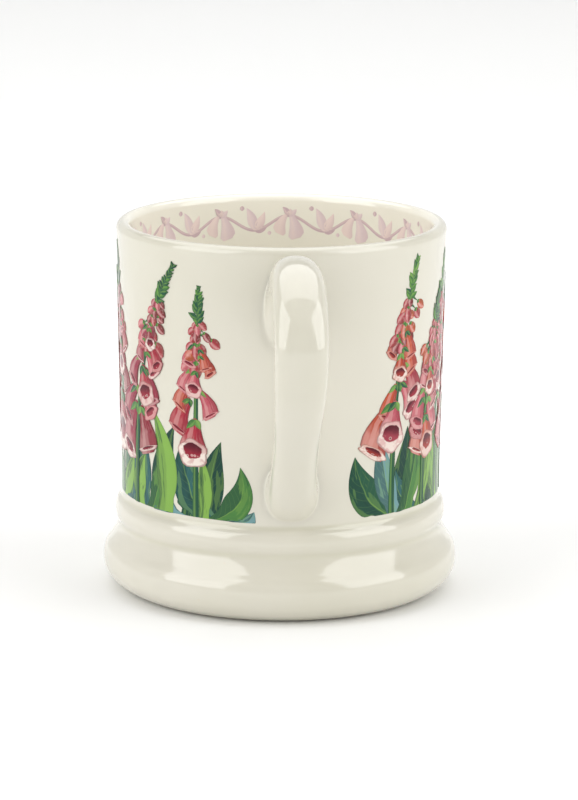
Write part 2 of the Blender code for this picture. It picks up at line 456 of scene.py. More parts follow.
class Sheet:
    """Printed shapes of one kind, each a grid of (across, height, lift) points with its inks.

    A short shape's underside is one face inside the clay. A long one's follows the wall."""

    def __init__(self, rows, columns, long=False):
        self.rows = rows
        self.columns = columns
        self.long = long
        self.grids = []
        self.inks = []
        self.grains = []

    def shares(self):
        """The shares of a shape's length down its rows, 0 to 1, and of its width across, -1 to 1."""
        return np.linspace(0, 1, self.rows)[:, None], np.linspace(-1, 1, self.columns)[None, :]

    def add(self, across, height, lift, ink, grain):
        """Adds one shape: a grid of places, and the ink and grain it is printed with."""
        self.grids.append(np.stack(np.broadcast_arrays(across, height, lift), -1))
        self.inks.append(ink)
        self.grains.append(grain)

    def build(self, name, wall, material):
        """Lays every shape on the wall as a closed film, with its edge and underside in the clay. A
        grid that would face into the wall has its columns turned round."""
        grids = np.array(self.grids)
        count = len(grids)
        along = np.broadcast_to(np.linspace(0, 1, self.rows)[:, None], grids.shape[1:3])
        across = np.broadcast_to(np.linspace(0, 1, self.columns)[None, :], grids.shape[1:3])
        marks = np.broadcast_to(np.stack([along, across], -1), (count, self.rows, self.columns, 2))
        step_down = grids[:, 1:, :-1, :2] - grids[:, :-1, :-1, :2]
        step_over = grids[:, :-1, 1:, :2] - grids[:, :-1, :-1, :2]
        area = (step_over[..., 0] * step_down[..., 1] - step_over[..., 1] * step_down[..., 0]).sum((1, 2))
        turned = (area < 0)[:, None, None, None]
        grids = np.where(turned, grids[:, :, ::-1], grids)
        marks = np.where(turned, marks[:, :, ::-1], marks)
        each = self.rows * self.columns
        number = np.arange(each).reshape(self.rows, self.columns)
        rim = np.concatenate([number[0, :-1], number[:-1, -1], number[-1, :0:-1], number[:0:-1, 0]])
        top = wall(grids[..., 0], grids[..., 1], grids[..., 2]).reshape(count, each, 3)
        under = wall(grids[..., 0], grids[..., 1], np.full_like(grids[..., 2], -FILM_SUNK))
        face = lattice(self.rows, self.columns, wrapped=False)
        kept = np.arange(each) if self.long else rim
        low = each + (rim if self.long else np.arange(len(rim)))
        underside = face[:, ::-1] + each if self.long else low[None, ::-1]
        points = np.concatenate([top, under.reshape(count, each, 3)[:, kept]], 1)
        marks = marks.reshape(count, each, 2)
        marks = np.concatenate([marks, marks[:, kept]], 1)
        sides = np.stack([rim, low, np.roll(low, -1), np.roll(rim, -1)], -1)
        total = each + len(kept)
        offset = total * np.arange(count)[:, None, None]
        faces = [(group[None] + offset).reshape(-1, group.shape[1]) for group in (face, sides, underside)]
        film = new_piece(name, points.reshape(-1, 3), faces, material)
        self.write_marks(film.data, marks.reshape(-1, 2), total)
        self.write_normals(film.data, wall)

    def write_marks(self, mesh, marks, total):
        """The shape's own coordinates as the UV map Shape, and its ink and grain as attributes."""
        corner = np.empty(len(mesh.loops), np.int32)
        mesh.loops.foreach_get("vertex_index", corner)
        layer = mesh.uv_layers.new(name="Shape")
        layer.uv.foreach_set("vector", marks[corner].astype(np.float32).ravel())
        inks = np.repeat(np.array(self.inks, np.float32), total, axis=0)
        mesh.attributes.new("ink", "FLOAT_COLOR", "POINT").data.foreach_set("color", inks.ravel())
        grains = np.repeat(np.array(self.grains, np.float32), total)
        mesh.attributes.new("grain", "FLOAT", "POINT").data.foreach_set("value", grains)

    def write_normals(self, mesh, wall):
        """Every point takes the wall's own normal, so that a film mirrors light as the glaze does."""
        places = np.empty(len(mesh.vertices) * 3, np.float32)
        mesh.vertices.foreach_get("co", places)
        normals = places.reshape(-1, 3) - (0, BOWL_Y, 0)
        normals[:, 2] = 0
        normals *= 1 if wall is outside_wall else -1
        mesh.normals_split_custom_set_from_vertices(unit(normals))


# ---------------------------------------------------------------------------- plants of the print


def bell_body(sheet, calyx, aim, length, width, lift, ink, grain):
    """One hanging bell, seen from the side: a tube along a line that droops a little.

    Half its width is the width times 0.15 + 0.35 sin(s pi / 2)^1.3 at the share s of its length,
    less a slight waist before the mouth. Its hem bulges and waves as cos(3 pi t) across."""
    s, t = sheet.shares()
    turn = aim * (1 - 0.45 * s)
    centre_across = calyx[0] + length * s * np.sin(turn)
    centre_height = calyx[1] - length * s * np.cos(turn)
    half = width * (0.15 + 0.35 * np.sin(s * math.pi / 2) ** 1.3 - 0.03 * np.sin(s * math.pi) ** 4)
    across = centre_across + half * t * np.cos(turn)
    hem = 0.20 * (1 - t**2) + 0.05 * np.cos(3 * math.pi * t)
    height = centre_height + half * t * np.sin(turn) - hem * width * s**4
    height = height + 0.10 * width * (1 - s) ** 4 * (1 - t**2)
    sheet.add(across, height, lift + BELL_TILT * s, ink, grain)


def bell_mouth(sheet, calyx, aim, length, width, opening, lift, ink, grain):
    """The bell's open mouth: a disc squashed to the share `opening`, with a waved lip."""
    end = aim * 0.55
    centre = (calyx[0] + length * math.sin(end), calyx[1] - length * math.cos(end))
    x = np.linspace(-1, 1, sheet.columns)[None, :]
    y = np.linspace(-1, 1, sheet.rows)[:, None]
    disc_x = x * np.sqrt(1 - y**2 / 2)
    disc_y = y * np.sqrt(1 - x**2 / 2)
    angle = np.arctan2(disc_y, disc_x)
    reach = np.hypot(disc_x, disc_y)
    wave = 1 + reach**3 * (0.09 * np.cos(5 * angle + 6 * grain) + 0.22 * np.sin(angle).clip(0))
    over = disc_x * wave * width * 0.51
    down = disc_y * wave * width * 0.51 * opening
    across = centre[0] + over * math.cos(end) + down * math.sin(end)
    height = centre[1] + over * math.sin(end) - down * math.cos(end)
    sheet.add(across, height, lift + BELL_TILT + MOUTH_RISE, ink, grain)


def drop(sheet, calyx, aim, length, width, lift, ink, grain):
    """A closed bud: half its width is the width times sin(pi s)^0.6 / 2, so both ends are blunt."""
    s = np.linspace(0.02, 0.98, sheet.rows)[:, None]
    t = np.linspace(-1, 1, sheet.columns)[None, :]
    half = width / 2 * np.sin(math.pi * s) ** 0.6
    across = calyx[0] + length * s * math.sin(aim) + half * t * math.cos(aim)
    height = calyx[1] - length * s * math.cos(aim) + half * t * math.sin(aim)
    sheet.add(across, height, lift + BUD_TILT * s, ink, grain)


def blade(sheet, foot, tip, bend, width, lift, ink, grain, cut=True, fullness=0.75):
    """A leaf along a curve that leaves the straight line from foot to tip sideways by bend.

    Half its width is the width times sin(pi s^fullness) / 2, kept open at the foot. With cut, the
    foot ends level and the rise r above the band's foot, where it is less than the edge e, becomes
    e exp(r / e - 1), so that nothing hangs below the band."""
    s, t = sheet.shares()
    span = np.array(tip) - np.array(foot)
    side = np.array([span[1], -span[0]]) / max(np.hypot(*span), 1e-9)
    bow = bend * 4 * s * (1 - s)
    line_across = foot[0] + span[0] * s + side[0] * bow
    line_height = foot[1] + span[1] * s + side[1] * bow
    slope = unit(span[None, :] + side[None, :] * bend * 4 * (1 - 2 * s))
    level = 1 - ease(0.0, 0.3, s) if cut else 0 * s
    over_across = slope[:, 1:] * (1 - level) + level
    over_height = -slope[:, :1] * (1 - level)
    shape = np.sin(math.pi * s**fullness)
    foot_width = 0.80 if cut else 0.08
    half = width / 2 * np.maximum(shape, foot_width * (1 - s)) + 0.03 * MM
    height = line_height + half * t * over_height
    if cut:
        rise = height - PRINT_FOOT
        pressed = PRINT_EDGE * np.exp(np.minimum(rise, PRINT_EDGE) / PRINT_EDGE - 1)
        height = PRINT_FOOT + np.where(rise < PRINT_EDGE, pressed, rise)
    sheet.add(line_across + half * t * over_across, height, lift, ink, grain)


def ribbon(sheet, line_across, line_height, width, lift, ink, grain):
    """A strip of the given width, which may change, along a line of points."""
    _, t = sheet.shares()
    d_across = np.gradient(line_across)
    d_height = np.gradient(line_height)
    size = np.hypot(d_across, d_height)
    half = (np.broadcast_to(width, line_across.shape) / 2)[:, None]
    across = line_across[:, None] + half * t * (d_height / size)[:, None]
    height = line_height[:, None] - half * t * (d_across / size)[:, None]
    sheet.add(across, height, lift, ink, grain)


class Band:
    """The sheets that the printed band round the wall is made of."""

    def __init__(self):
        self.bells = Sheet(7, 6)
        self.mouths = Sheet(7, 7)
        self.buds = Sheet(6, 4)
        self.leaves = Sheet(21, 12, long=True)
        self.sepals = Sheet(6, 3)
        self.stems = Sheet(41, 3, long=True)


def stem_point(foot, tip, share):
    """A point on the stem: upright at its foot, and leaning with a power of the share to its tip."""
    return foot[0] + (tip[0] - foot[0]) * share**STEM_BEND, foot[1] + (tip[1] - foot[1]) * share


def hang_bell(band, rng, calyx, aim, length, width, opening, lift, ink, paleness):
    """A bell with its mouth, and two sepals over its root. The ink's fourth number becomes the
    paleness of the lip."""
    grain = rng.random()
    ink = (*ink[:3], paleness)
    bell_body(band.bells, calyx, aim, length, width, lift, ink, grain)
    bell_mouth(band.mouths, calyx, aim, length, width, opening, lift, ink, grain)
    for spread in (-0.28, 0.22):
        reach = width * rng.uniform(0.20, 0.34)
        end = (calyx[0] + reach * math.sin(aim) + spread * width, calyx[1] - reach)
        start = (calyx[0], calyx[1] + 0.06 * width)
        green = (LEAF_DARK, LEAF_MID, BUD_GREEN)[rng.integers(3)]
        blade(band.sepals, start, end, 0.0, 0.20 * width, lift + SEPAL_RISE, green, grain, cut=False)


def hang_bells(band, rng, foot, tip, size, tones, base):
    """The open bells: tiers of a bell on each side, or of one and one that faces out. They shrink
    upwards, and now and then one is missing or turned so far that its mouth is only a slit."""
    level = BELLS_FROM + rng.uniform(-0.03, 0.03)
    tier = rng.integers(3)
    side = 1 if rng.random() < 0.5 else -1
    while level < BUDS_FROM:
        young = (level - BELLS_FROM) / (BUDS_FROM - BELLS_FROM)
        side = -side
        width = (6.9 - 3.2 * young) * MM * size
        for where in (side, 0) if tier % 3 == 2 else (side, -side):
            own = width * rng.uniform(0.80, 1.14)
            x, y = stem_point(foot, tip, level + 0.055 + rng.uniform(-0.018, 0.018))
            ink = tones[rng.integers(len(tones))]
            if where and rng.random() < 0.92:
                aim = where * rng.uniform(0.50, 1.15)
                opening = rng.uniform(0.26, 0.62) if rng.random() < 0.62 else 0.15
                calyx = (x + where * rng.uniform(0.08, 0.28) * own, y)
                step = (BELL_STEP if where > 0 else 0.0) + TIER_STEP * (tier % 3)
                paleness = 0.1 if rng.random() < 0.6 else rng.uniform(0.5, 0.9)
                length = own * rng.uniform(1.1, 1.5)
                hang_bell(band, rng, calyx, aim, length, own, opening, base + step, ink, paleness)
            elif not where:
                opening = rng.uniform(0.72, 0.96)
                step = 2 * BELL_STEP
                paleness = rng.uniform(0.45, 1.0)
                aim = rng.uniform(-0.35, 0.35)
                hang_bell(band, rng, (x, y), aim, own, own * 1.05, opening, base + step, ink, paleness)
        tier += 1
        level += 0.080 - 0.034 * young


def hang_buds(band, rng, foot, tip, size, tones, base):
    """The coloured buds above the bells: some sit on the stem, some hang out on a stalk."""
    level = BUDS_FROM
    side = 1
    while level < TIP_FROM:
        young = (level - BUDS_FROM) / (TIP_FROM - BUDS_FROM)
        side = -side
        x, y = stem_point(foot, tip, level)
        width = (3.3 - 1.4 * young) * MM * size
        for order, where in enumerate((side, -side * 0.9, 0.1 * side)):
            own = width * rng.uniform(0.75, 1.1)
            ink = (*tones, CRIMSON, ROSE)[rng.integers(len(tones) + 2)]
            stalk = own * (rng.uniform(0.5, 1.2) if order < 2 and rng.random() < 0.35 else 0.0)
            calyx = (x + where * (0.15 * own + stalk), y + rng.uniform(-0.3, 0.6) * MM - 0.3 * stalk)
            aim = where * rng.uniform(0.6, 1.1)
            lift = base + BUD_LIFT + BUD_STEP * order
            if stalk:
                start = (x, y + 0.4 * own)
                blade(band.sepals, start, calyx, 0.0, 0.22 * own, lift, LEAF_DARK, rng.random(), cut=False)
            drop(band.buds, calyx, aim, own * rng.uniform(1.15, 1.6), own, lift, ink, rng.random())
            cap = (calyx[0] + 0.35 * own * math.sin(aim), calyx[1] - 0.35 * own * math.cos(aim))
            lift += CAP_RISE
            blade(band.sepals, calyx, cap, 0.0, 0.45 * own, lift, LEAF_MID, rng.random(), cut=False)
        level += 0.036 - 0.010 * young


def grow_tip(band, rng, foot, tip, size, base):
    """The green tip: pairs of small buds that shrink to a point."""
    inks = (LEAF_DARK, LEAF_DARK, LEAF_MID, LEAF_DEEP)
    if rng.random() < 0.35:
        inks = (LEAF_MID, BUD_GREEN, LEAF_DARK, LEAF_MID)
    level = TIP_FROM
    side = 1
    while level < 0.995:
        young = (level - TIP_FROM) / (1 - TIP_FROM)
        side = -side
        x, y = stem_point(foot, tip, level)
        slope = (tip[0] - foot[0]) * STEM_BEND * level ** (STEM_BEND - 1) / (tip[1] - foot[1])
        for order, where in enumerate((side, -side)):
            reach = (2.9 - 1.8 * young) * MM * size * rng.uniform(0.7, 1.15)
            turn = where * rng.uniform(0.55, 1.25) * (1 - 0.4 * young) + math.atan(slope)
            end = (x + reach * math.sin(turn), y + reach * math.cos(turn))
            lift = base + TIP_LIFT + TIP_STEP * order
            ink = inks[rng.integers(4)]
            blade(band.sepals, (x, y), end, 0.0, 0.5 * reach, lift, ink, rng.random(), cut=False)
        level += 0.019 - 0.006 * young


def foxglove(band, rng, degrees, tip_degrees, tip_height, size, tones, rank):
    """One plant: a stem, bells that shrink upwards, then coloured buds, then a green tip."""
    foot = (degrees * PER_DEGREE, PRINT_FOOT + PRINT_EDGE / math.e)
    tip = (tip_degrees * PER_DEGREE, tip_height)
    base = PLANT_LIFT + RANK_STEP * rank
    share = np.linspace(0, 1, band.stems.rows)
    line_across, line_height = stem_point(foot, tip, share)
    taper = (1.8 - 1.2 * share) * MM * size
    ribbon(band.stems, line_across, line_height, taper, base - STEM_DROP, LEAF_DARK, rng.random())
    hang_bells(band, rng, foot, tip, size, tones, base)
    hang_buds(band, rng, foot, tip, size, tones, base)
    grow_tip(band, rng, foot, tip, size, base)


WARM = (ROSE, CORAL, PINK, ROSE, CORAL)
DEEP = (ROSE, CRIMSON, MAGENTA, PINK, ROSE)
SOFT = (PINK, BLUSH, BLUSH, MAGENTA, PINK)

# (degrees round the wall at the foot, at the tip, the tip's height in mm, size, tones, rank)
PLANTS = [
    (39, 50, 88.0, 1.12, WARM, 0),
    (57, 70, 79.0, 1.06, WARM, 1),
    (69, 76, 87.0, 1.06, DEEP, 0),
    (84, 90, 81.0, 1.02, WARM, 1),
    (101, 96, 86.5, 1.04, SOFT, 0),
    (118, 126, 80.0, 1.02, DEEP, 1),
    (136, 132, 88.0, 1.04, SOFT, 0),
    (154, 149, 80.5, 1.04, WARM, 1),
    (172, 180, 86.5, 1.04, DEEP, 0),
    (190, 195, 79.5, 1.04, SOFT, 1),
    (208, 202, 88.0, 1.04, WARM, 0),
    (226, 234, 81.0, 1.04, DEEP, 1),
    (244, 240, 87.0, 1.04, SOFT, 0),
    (262, 266, 80.5, 1.08, WARM, 1),
    (279, 274, 88.0, 1.16, DEEP, 0),
    (294, 317, 87.0, 1.08, DEEP, 1),
    (325, 327, 82.5, 1.00, WARM, 0),
]

# The inks of the leaves, from the lowest film to the highest.
LEAF_TONES = (LEAF_DEEP, LEAF_DARK, LEAF_BLUE, LEAF_MIST, LEAF_MID, LEAF_LIGHT)

# (degrees at the foot, at the tip, tip height, bend and width in mm, ink)
FRONT_LEAVES = [
    (43, 47, 46.0, 1.0, 9.0, LEAF_DEEP),
    (37, 23, 40.5, -2.4, 9.0, LEAF_DARK),
    (41, 34, 45.0, -1.4, 6.6, LEAF_MIST),
    (46, 52, 48.0, 1.6, 7.6, LEAF_MID),
    (51, 41, 35.5, -2.2, 8.0, LEAF_BLUE),
    (55, 63, 50.0, 1.6, 6.0, LEAF_LIGHT),
    (60, 55, 41.0, 1.8, 8.5, LEAF_DEEP),
    (66, 73, 48.0, 1.2, 8.0, LEAF_DARK),
    (70, 64, 44.0, -1.2, 6.4, LEAF_LIGHT),
    (329, 319, 43.0, -1.8, 9.5, LEAF_BLUE),
    (333, 342, 38.5, 3.2, 7.0, LEAF_MID),
    (336, 347, 27.6, 2.2, 7.6, LEAF_MIST),
    (331, 335, 44.5, -1.2, 7.0, LEAF_DEEP),
    (328, 327, 41.0, 0.8, 4.0, LEAF_LIGHT),
    (323, 315, 33.5, 2.2, 8.0, LEAF_DARK),
    (317, 308, 30.0, -2.4, 9.0, LEAF_MIST),
    (311, 305, 50.0, 2.4, 7.0, LEAF_LIGHT),
    (309, 316, 47.0, -1.8, 7.6, LEAF_DEEP),
    (304, 309, 41.0, 1.4, 6.0, LEAF_MID),
    (299, 291, 49.0, 1.8, 7.0, LEAF_BLUE),
    (296, 300, 38.0, -1.6, 6.4, LEAF_LIGHT),
    (291, 286, 45.0, 1.2, 8.0, LEAF_DARK),
]


# From, to and step, in degrees, of the leaves out of the front view. They are drawn at random.
BACK_LEAF_DEGREES = (74, 290, 4.2)


def build_band(shader_kit):
    """The whole band: plants round the wall, and leaves that fill its foot between them."""
    rng = np.random.default_rng(SEED)
    band = Band()
    for degrees, tip_degrees, tip_height, size, tones, rank in PLANTS:
        foxglove(band, rng, degrees, tip_degrees, tip_height * MM, size, tones, rank)
    leaves = list(FRONT_LEAVES)
    for degrees in np.arange(*BACK_LEAF_DEGREES):
        lean = rng.uniform(-12, 12)
        tip = rng.uniform(34, 56)
        tone = LEAF_TONES[rng.integers(len(LEAF_TONES))]
        leaves.append((degrees, degrees + lean, tip, rng.uniform(-2.6, 2.6), rng.uniform(6.4, 9.6), tone))
    for index, (degrees, tip_degrees, tip, bend, width, tone) in enumerate(leaves):
        lift = LEAF_LIFT + LEAF_TONE_STEP * LEAF_TONES.index(tone) + LEAF_STEP * (index % 4)
        foot = (degrees * PER_DEGREE, PRINT_FOOT)
        end = (tip_degrees * PER_DEGREE, tip * MM)
        blade(band.leaves, foot, end, bend * MM, width * MM, lift, tone, rng.random())
    for sheet, name, ink in (
        (band.leaves, "print_leaves", "leaf"),
        (band.stems, "print_stems", "stem"),
        (band.bells, "print_bells", "bell"),
        (band.mouths, "print_mouths", "mouth"),
        (band.sepals, "print_sepals", "stem"),
        (band.buds, "print_buds", "bud"),
    ):
        sheet.build(name, outside_wall, shader_kit[ink])


def build_garland(shader_kit):
    """The lilac garland inside the lip: a waving vine, with two bells and three small leaves at each
    crest, and three larger leaves at each trough."""
    rng = np.random.default_rng(SEED + 1)
    vines, leaves = Sheet(33, 3, long=True), Sheet(9, 5, long=True)
    bells, dots = Sheet(9, 6, long=True), Sheet(5, 4, long=True)
    pitch = math.tau * PRINT_RADIUS / GARLAND_REPEATS
    for repeat in range(GARLAND_REPEATS):
        start = repeat * pitch
        share = np.linspace(0, 1, vines.rows)
        line_height = GARLAND_HEIGHT + GARLAND_WAVE * np.sin(math.tau * share)
        ribbon(vines, start + share * pitch, line_height, 0.75 * MM, 0.012 * MM, LILAC_DEEP, 0.0)
        x, y = start + 0.25 * pitch, GARLAND_HEIGHT + GARLAND_WAVE
        bell_body(bells, (x + 0.6 * MM, y), 0.5, 5.4 * MM, 4.4 * MM, 0.030 * MM, LILAC, 0.4)
        bell_body(bells, (x - 0.8 * MM, y), -0.75, 4.6 * MM, 3.7 * MM, 0.022 * MM, LILAC_PINK, 0.2)
        for turn, size, ink in ((0.75, 3.0, LILAC), (-0.55, 3.4, LILAC_DEEP), (0.1, 2.4, LILAC_PINK)):
            tip = (x + size * MM * math.sin(turn), y + 0.75 * size * MM * math.cos(turn))
            blade(leaves, (x, y), tip, 0.2 * MM, 1.5 * MM, 0.070 * MM, ink, rng.random(), cut=False)
        x, y = start + 0.75 * pitch, GARLAND_HEIGHT - GARLAND_WAVE
        for turn, size, ink in ((-0.35, 6.2, LILAC), (0.55, 5.6, LILAC_PINK), (1.25, 4.0, LILAC_DEEP)):
            tip = (x + size * MM * math.sin(turn), y + size * MM * math.cos(turn))
            width = 0.44 * size * MM
            blade(leaves, (x, y), tip, 0.4 * MM, width, 0.022 * MM, ink, rng.random(), cut=False)
        drop(dots, (x - 3.4 * MM, y + 6.4 * MM), 0.0, 1.3 * MM, 1.3 * MM, 0.02 * MM, LILAC_DEEP, 0.1)
        drop(dots, (x + 0.22 * pitch, y - 0.2 * MM), 0.0, 1.1 * MM, 1.1 * MM, 0.02 * MM, LILAC, 0.1)
    for sheet, name in ((vines, "vine"), (leaves, "leaves"), (bells, "bells"), (dots, "dots")):
        sheet.build("garland_" + name, inside_wall, shader_kit["lilac"])


# ---------------------------------------------------------------------------- shader maths


class Value:
    """An output socket of a material's nodes. Arithmetic on it adds Math nodes."""

    def __init__(self, paint, socket):
        self.paint = paint
        self.socket = socket

    def _math(self, operation, first, second):
        return self.paint.node("ShaderNodeMath", {"operation": operation}, {0: first, 1: second})

    def __add__(self, other):
        return self._math("ADD", self, other)

    def __radd__(self, other):
        return self._math("ADD", other, self)

    def __sub__(self, other):
        return self._math("SUBTRACT", self, other)

    def __rsub__(self, other):
        return self._math("SUBTRACT", other, self)

    def __mul__(self, other):
        return self._math("MULTIPLY", self, other)

    def __rmul__(self, other):
        return self._math("MULTIPLY", other, self)

    def __abs__(self):
        return self.paint.node("ShaderNodeMath", {"operation": "ABSOLUTE"}, {0: self})


class Paint:
    """One material, and the nodes that colour it."""

    def __init__(self, name):
        self.material = bpy.data.materials.new(name)
        self.material.use_nodes = True
        self.tree = self.material.node_tree
        self.tree.nodes.clear()

    def node(self, kind, settings, sockets, output=0):
        """A node with its settings, then its sockets' values or links. Returns one of its outputs."""
        made = self.tree.nodes.new(kind)
        for name, value in settings.items():
            setattr(made, name, value)
        for name, value in sockets.items():
            if isinstance(value, Value):
                self.tree.links.new(value.socket, made.inputs[name])
            else:
                made.inputs[name].default_value = value
        return Value(self, made.outputs[output]) if len(made.outputs) else None

    def parts(self, place):
        """The three coordinates of a place."""
        split = self.node("ShaderNodeSeparateXYZ", {}, {0: place}).socket.node
        return [Value(self, socket) for socket in split.outputs]

    def root(self, value):
        return self.node("ShaderNodeMath", {"operation": "SQRT"}, {0: value})

    def attribute(self, name, output):
        return self.node("ShaderNodeAttribute", {"attribute_name": name}, {}, output)

    def object_place(self):
        return self.node("ShaderNodeTexCoord", {}, {}, "Object")

    def shape_marks(self):
        """What a printed shape carries: the places along and across it, its ink and its grain."""
        along, across, _ = self.parts(self.node("ShaderNodeUVMap", {"uv_map": "Shape"}, {}))
        return along, across, self.attribute("ink", "Color"), self.attribute("grain", "Fac")

    def joined(self, x, y, z):
        return self.node("ShaderNodeCombineXYZ", {}, {0: x, 1: y, 2: z})

    def noise(self, place, scale, detail=2.0):
        return self.node("ShaderNodeTexNoise", {}, {"Vector": place, "Scale": scale, "Detail": detail})

    def brush(self, x, y, grain, scales, detail=2.0):
        """Noise over a printed shape's own coordinates, which the grain makes its own."""
        return self.noise(self.joined(x * scales[0], y * scales[1], grain * scales[2]), 1.0, detail)

    def rise(self, low, high, value):
        """0 at low and 1 at high, eased between them."""
        settings = {"interpolation_type": "SMOOTHSTEP"}
        return self.node("ShaderNodeMapRange", settings, {"Value": value, "From Min": low, "From Max": high})

    def fall(self, low, high, value):
        """1 at low and 0 at high, eased between them."""
        return 1 - self.rise(low, high, value)

    def mix(self, factor, first, second, blend="MIX"):
        """Two colours mixed, with the second's share given by factor."""
        settings = {"data_type": "RGBA", "blend_type": blend}
        return self.node("ShaderNodeMix", settings, {0: factor, 6: first, 7: second}, 2)

    def glazed(self, colour, roughness, specular=0.5, coat=0.4):
        """Ends the material in a clear glossy glaze over the colour, with its faint ripple."""
        place = self.object_place()
        ripple = self.noise(place, 95.0, 2.0) + self.noise(place, 420.0, 1.0) * 0.12
        bump = self.node("ShaderNodeBump", {}, {"Strength": 0.10, "Distance": 0.0006, "Height": ripple})
        shader = self.node(
            "ShaderNodeBsdfPrincipled",
            {},
            {
                "Base Color": colour,
                "Roughness": roughness,
                "IOR": 1.6,
                "Specular IOR Level": specular,
                "Coat Weight": coat,
                "Coat Roughness": 0.03,
                "Normal": bump,
            },
        )
        self.node("ShaderNodeOutputMaterial", {}, {"Surface": shader})
        return self.material

    def printed(self, colour):
        """Ends the material in an ink that has sunk into the glaze and mirrors less than it does."""
        return self.glazed(colour, glaze_gloss(self), PRINT_SPECULAR, 0.0)


def glaze_gloss(paint):
    """The glaze's roughness, a little uneven."""
    return 0.09 + paint.noise(paint.object_place(), 60.0) * 0.04


def body_glaze(name):
    """Cream glaze: greener in clouds, darker and greener where it pools in the groove and on the collar's
    top, partly painted shade there, much paler inside the bowl as painted light, bare on the foot.
    """
    paint = Paint(name)
    place = paint.object_place()
    x, y, height = paint.parts(place)
    cloud = paint.noise(place, 22.0, 3.0)
    tone = paint.mix(paint.rise(0.35, 0.75, cloud) * 0.35, CREAM, CREAM_POOLED)
    # Darker and greener along the groove and on the collar's top: glaze that pools there, and painted shade
    # in these recesses.
    near_groove = paint.fall(0.0, 1.3 * MM, abs(height - GROOVE_HEIGHT))
    near_collar = paint.fall(0.0, 1.1 * MM, abs(height - COLLAR_TOP))
    outside = paint.mix((near_groove + near_collar) * 0.55, tone, CREAM_POOLED)
    y = y - BOWL_Y
    # Inside the bowl, from the lip's inner half down to the floor, the glaze turns much paler: painted
    # light.
    within = paint.fall(RIM_RADIUS - 2.4 * MM, RIM_RADIUS - 1.2 * MM, paint.root(x * x + y * y))
    within = within * paint.rise(FLOOR_HEIGHT - 3 * MM, FLOOR_HEIGHT - 1 * MM, height)
    pooled_and_painted_light = paint.mix(within, outside, paint.mix(cloud * 0.5, CREAM_PAINTED_LIGHT_INSIDE, CREAM))
    specks = paint.node("ShaderNodeTexVoronoi", {}, {"Vector": place, "Scale": 260.0, "Randomness": 1.0}, 0)
    rare = paint.rise(0.72, 0.74, paint.noise(place, 150.0, 0.0))
    speck = paint.fall(0.05, 0.12, specks) * rare
    flecked = paint.mix(speck * 0.35, pooled_and_painted_light, BISCUIT)
    bare = paint.fall(0.10 * MM, 0.35 * MM, height)
    grit = paint.noise(place, 900.0, 2.0)
    clay = paint.mix(grit * 0.5, BISCUIT, CREAM_POOLED)
    colour = paint.mix(bare, flecked, clay)
    gloss = glaze_gloss(paint) + bare * 0.55
    return paint.glazed(colour, gloss)


def bell_ink():
    """A bell from the side, in gouache: a shaded flank, a light stroke and a paler mouth end."""
    paint = Paint("print_bell")
    along, across, ink, grain = paint.shape_marks()
    wobble = (paint.brush(along, across, grain, (2.6, 2.6, 40.0)) - 0.5) * 0.55
    pale = paint.mix(0.52, ink, PETAL_LIGHT)
    deep = paint.mix(0.62, ink, THROAT)
    toned = paint.mix(paint.rise(0.35, 0.95, grain) * 0.35, ink, deep)
    paleness = paint.attribute("ink", "Alpha") * 0.6 + 0.15
    mouthward = paint.mix(paint.rise(0.50, 0.70, along + wobble) * paleness, toned, pale)
    stroke = paint.fall(0.10, 0.15, abs(across + wobble * 0.5 - 0.31))
    stroked = paint.mix(stroke * 0.55, mouthward, pale)
    flank = paint.mix(paint.rise(0.64, 0.70, across + wobble * 0.6) * 0.8, stroked, deep)
    root = paint.mix(paint.fall(0.12, 0.30, along - wobble * 0.4) * 0.55, flank, deep)
    grainy = paint.brush(along, across, grain, (3.0, 12.0, 70.0), 3.0)
    streaked = paint.mix(paint.rise(0.50, 0.72, grainy) * 0.30, root, pale)
    outline = paint.rise(0.43, 0.49, abs(across - 0.5)) * 0.55
    return paint.printed(paint.mix(outline, streaked, paint.mix(0.5, THROAT, OUTLINE)))


def mouth_ink():
    """A bell's mouth: a waved lip round a crimson throat, dark above, with ringed spots below."""
    paint = Paint("print_mouth")
    down, over, ink, grain = paint.shape_marks()
    paleness = paint.attribute("ink", "Alpha")
    square_y, square_x = down * 2 - 1, over * 2 - 1
    y = square_y * paint.root(1 - square_x * square_x * 0.5)
    x = square_x * paint.root(1 - square_y * square_y * 0.5)
    lower = y + 0.12
    wander = (paint.brush(x, y, grain, (2.0, 2.0, 30.0)) - 0.5) * 0.34
    reach = paint.root(x * x + lower * lower * 1.1) + wander
    throat = paint.fall(0.60, 0.68, reach)
    depth = paint.rise(-0.55, 0.25, y + wander)
    throat_colour = paint.mix(depth, THROAT_DARK, paint.mix(0.40, THROAT, ink))
    cells = paint.joined(x * 2.7, y * 2.7, grain * 20.0)
    spot = paint.node("ShaderNodeTexVoronoi", {}, {"Vector": cells, "Scale": 1.0}, 0)
    below = paint.rise(0.0, 0.15, y)
    haloed = paint.mix(paint.fall(0.30, 0.36, spot) * below * 0.55, throat_colour, PETAL_LIGHT)
    spotted = paint.mix(paint.fall(0.16, 0.21, spot) * below * 0.85, haloed, THROAT_DARK)
    lip = paint.mix(paleness, paint.mix(0.35, ink, PETAL_LIGHT), PETAL_WHITE)
    blush = paint.brush(x, y, grain, (2.4, 2.4, 50.0))
    blushed = paint.mix(paint.rise(0.48, 0.60, blush) * 0.45, lip, paint.mix(0.25, ink, PETAL_LIGHT))
    shaded = paint.mix(paint.fall(-0.75, -0.35, y) * 0.45, blushed, ink)
    rim = paint.root(x * x + y * y)
    edged = paint.mix(paint.rise(0.89, 0.98, rim) * 0.65, shaded, paint.mix(0.5, ink, OUTLINE))
    return paint.printed(paint.mix(throat, edged, spotted))


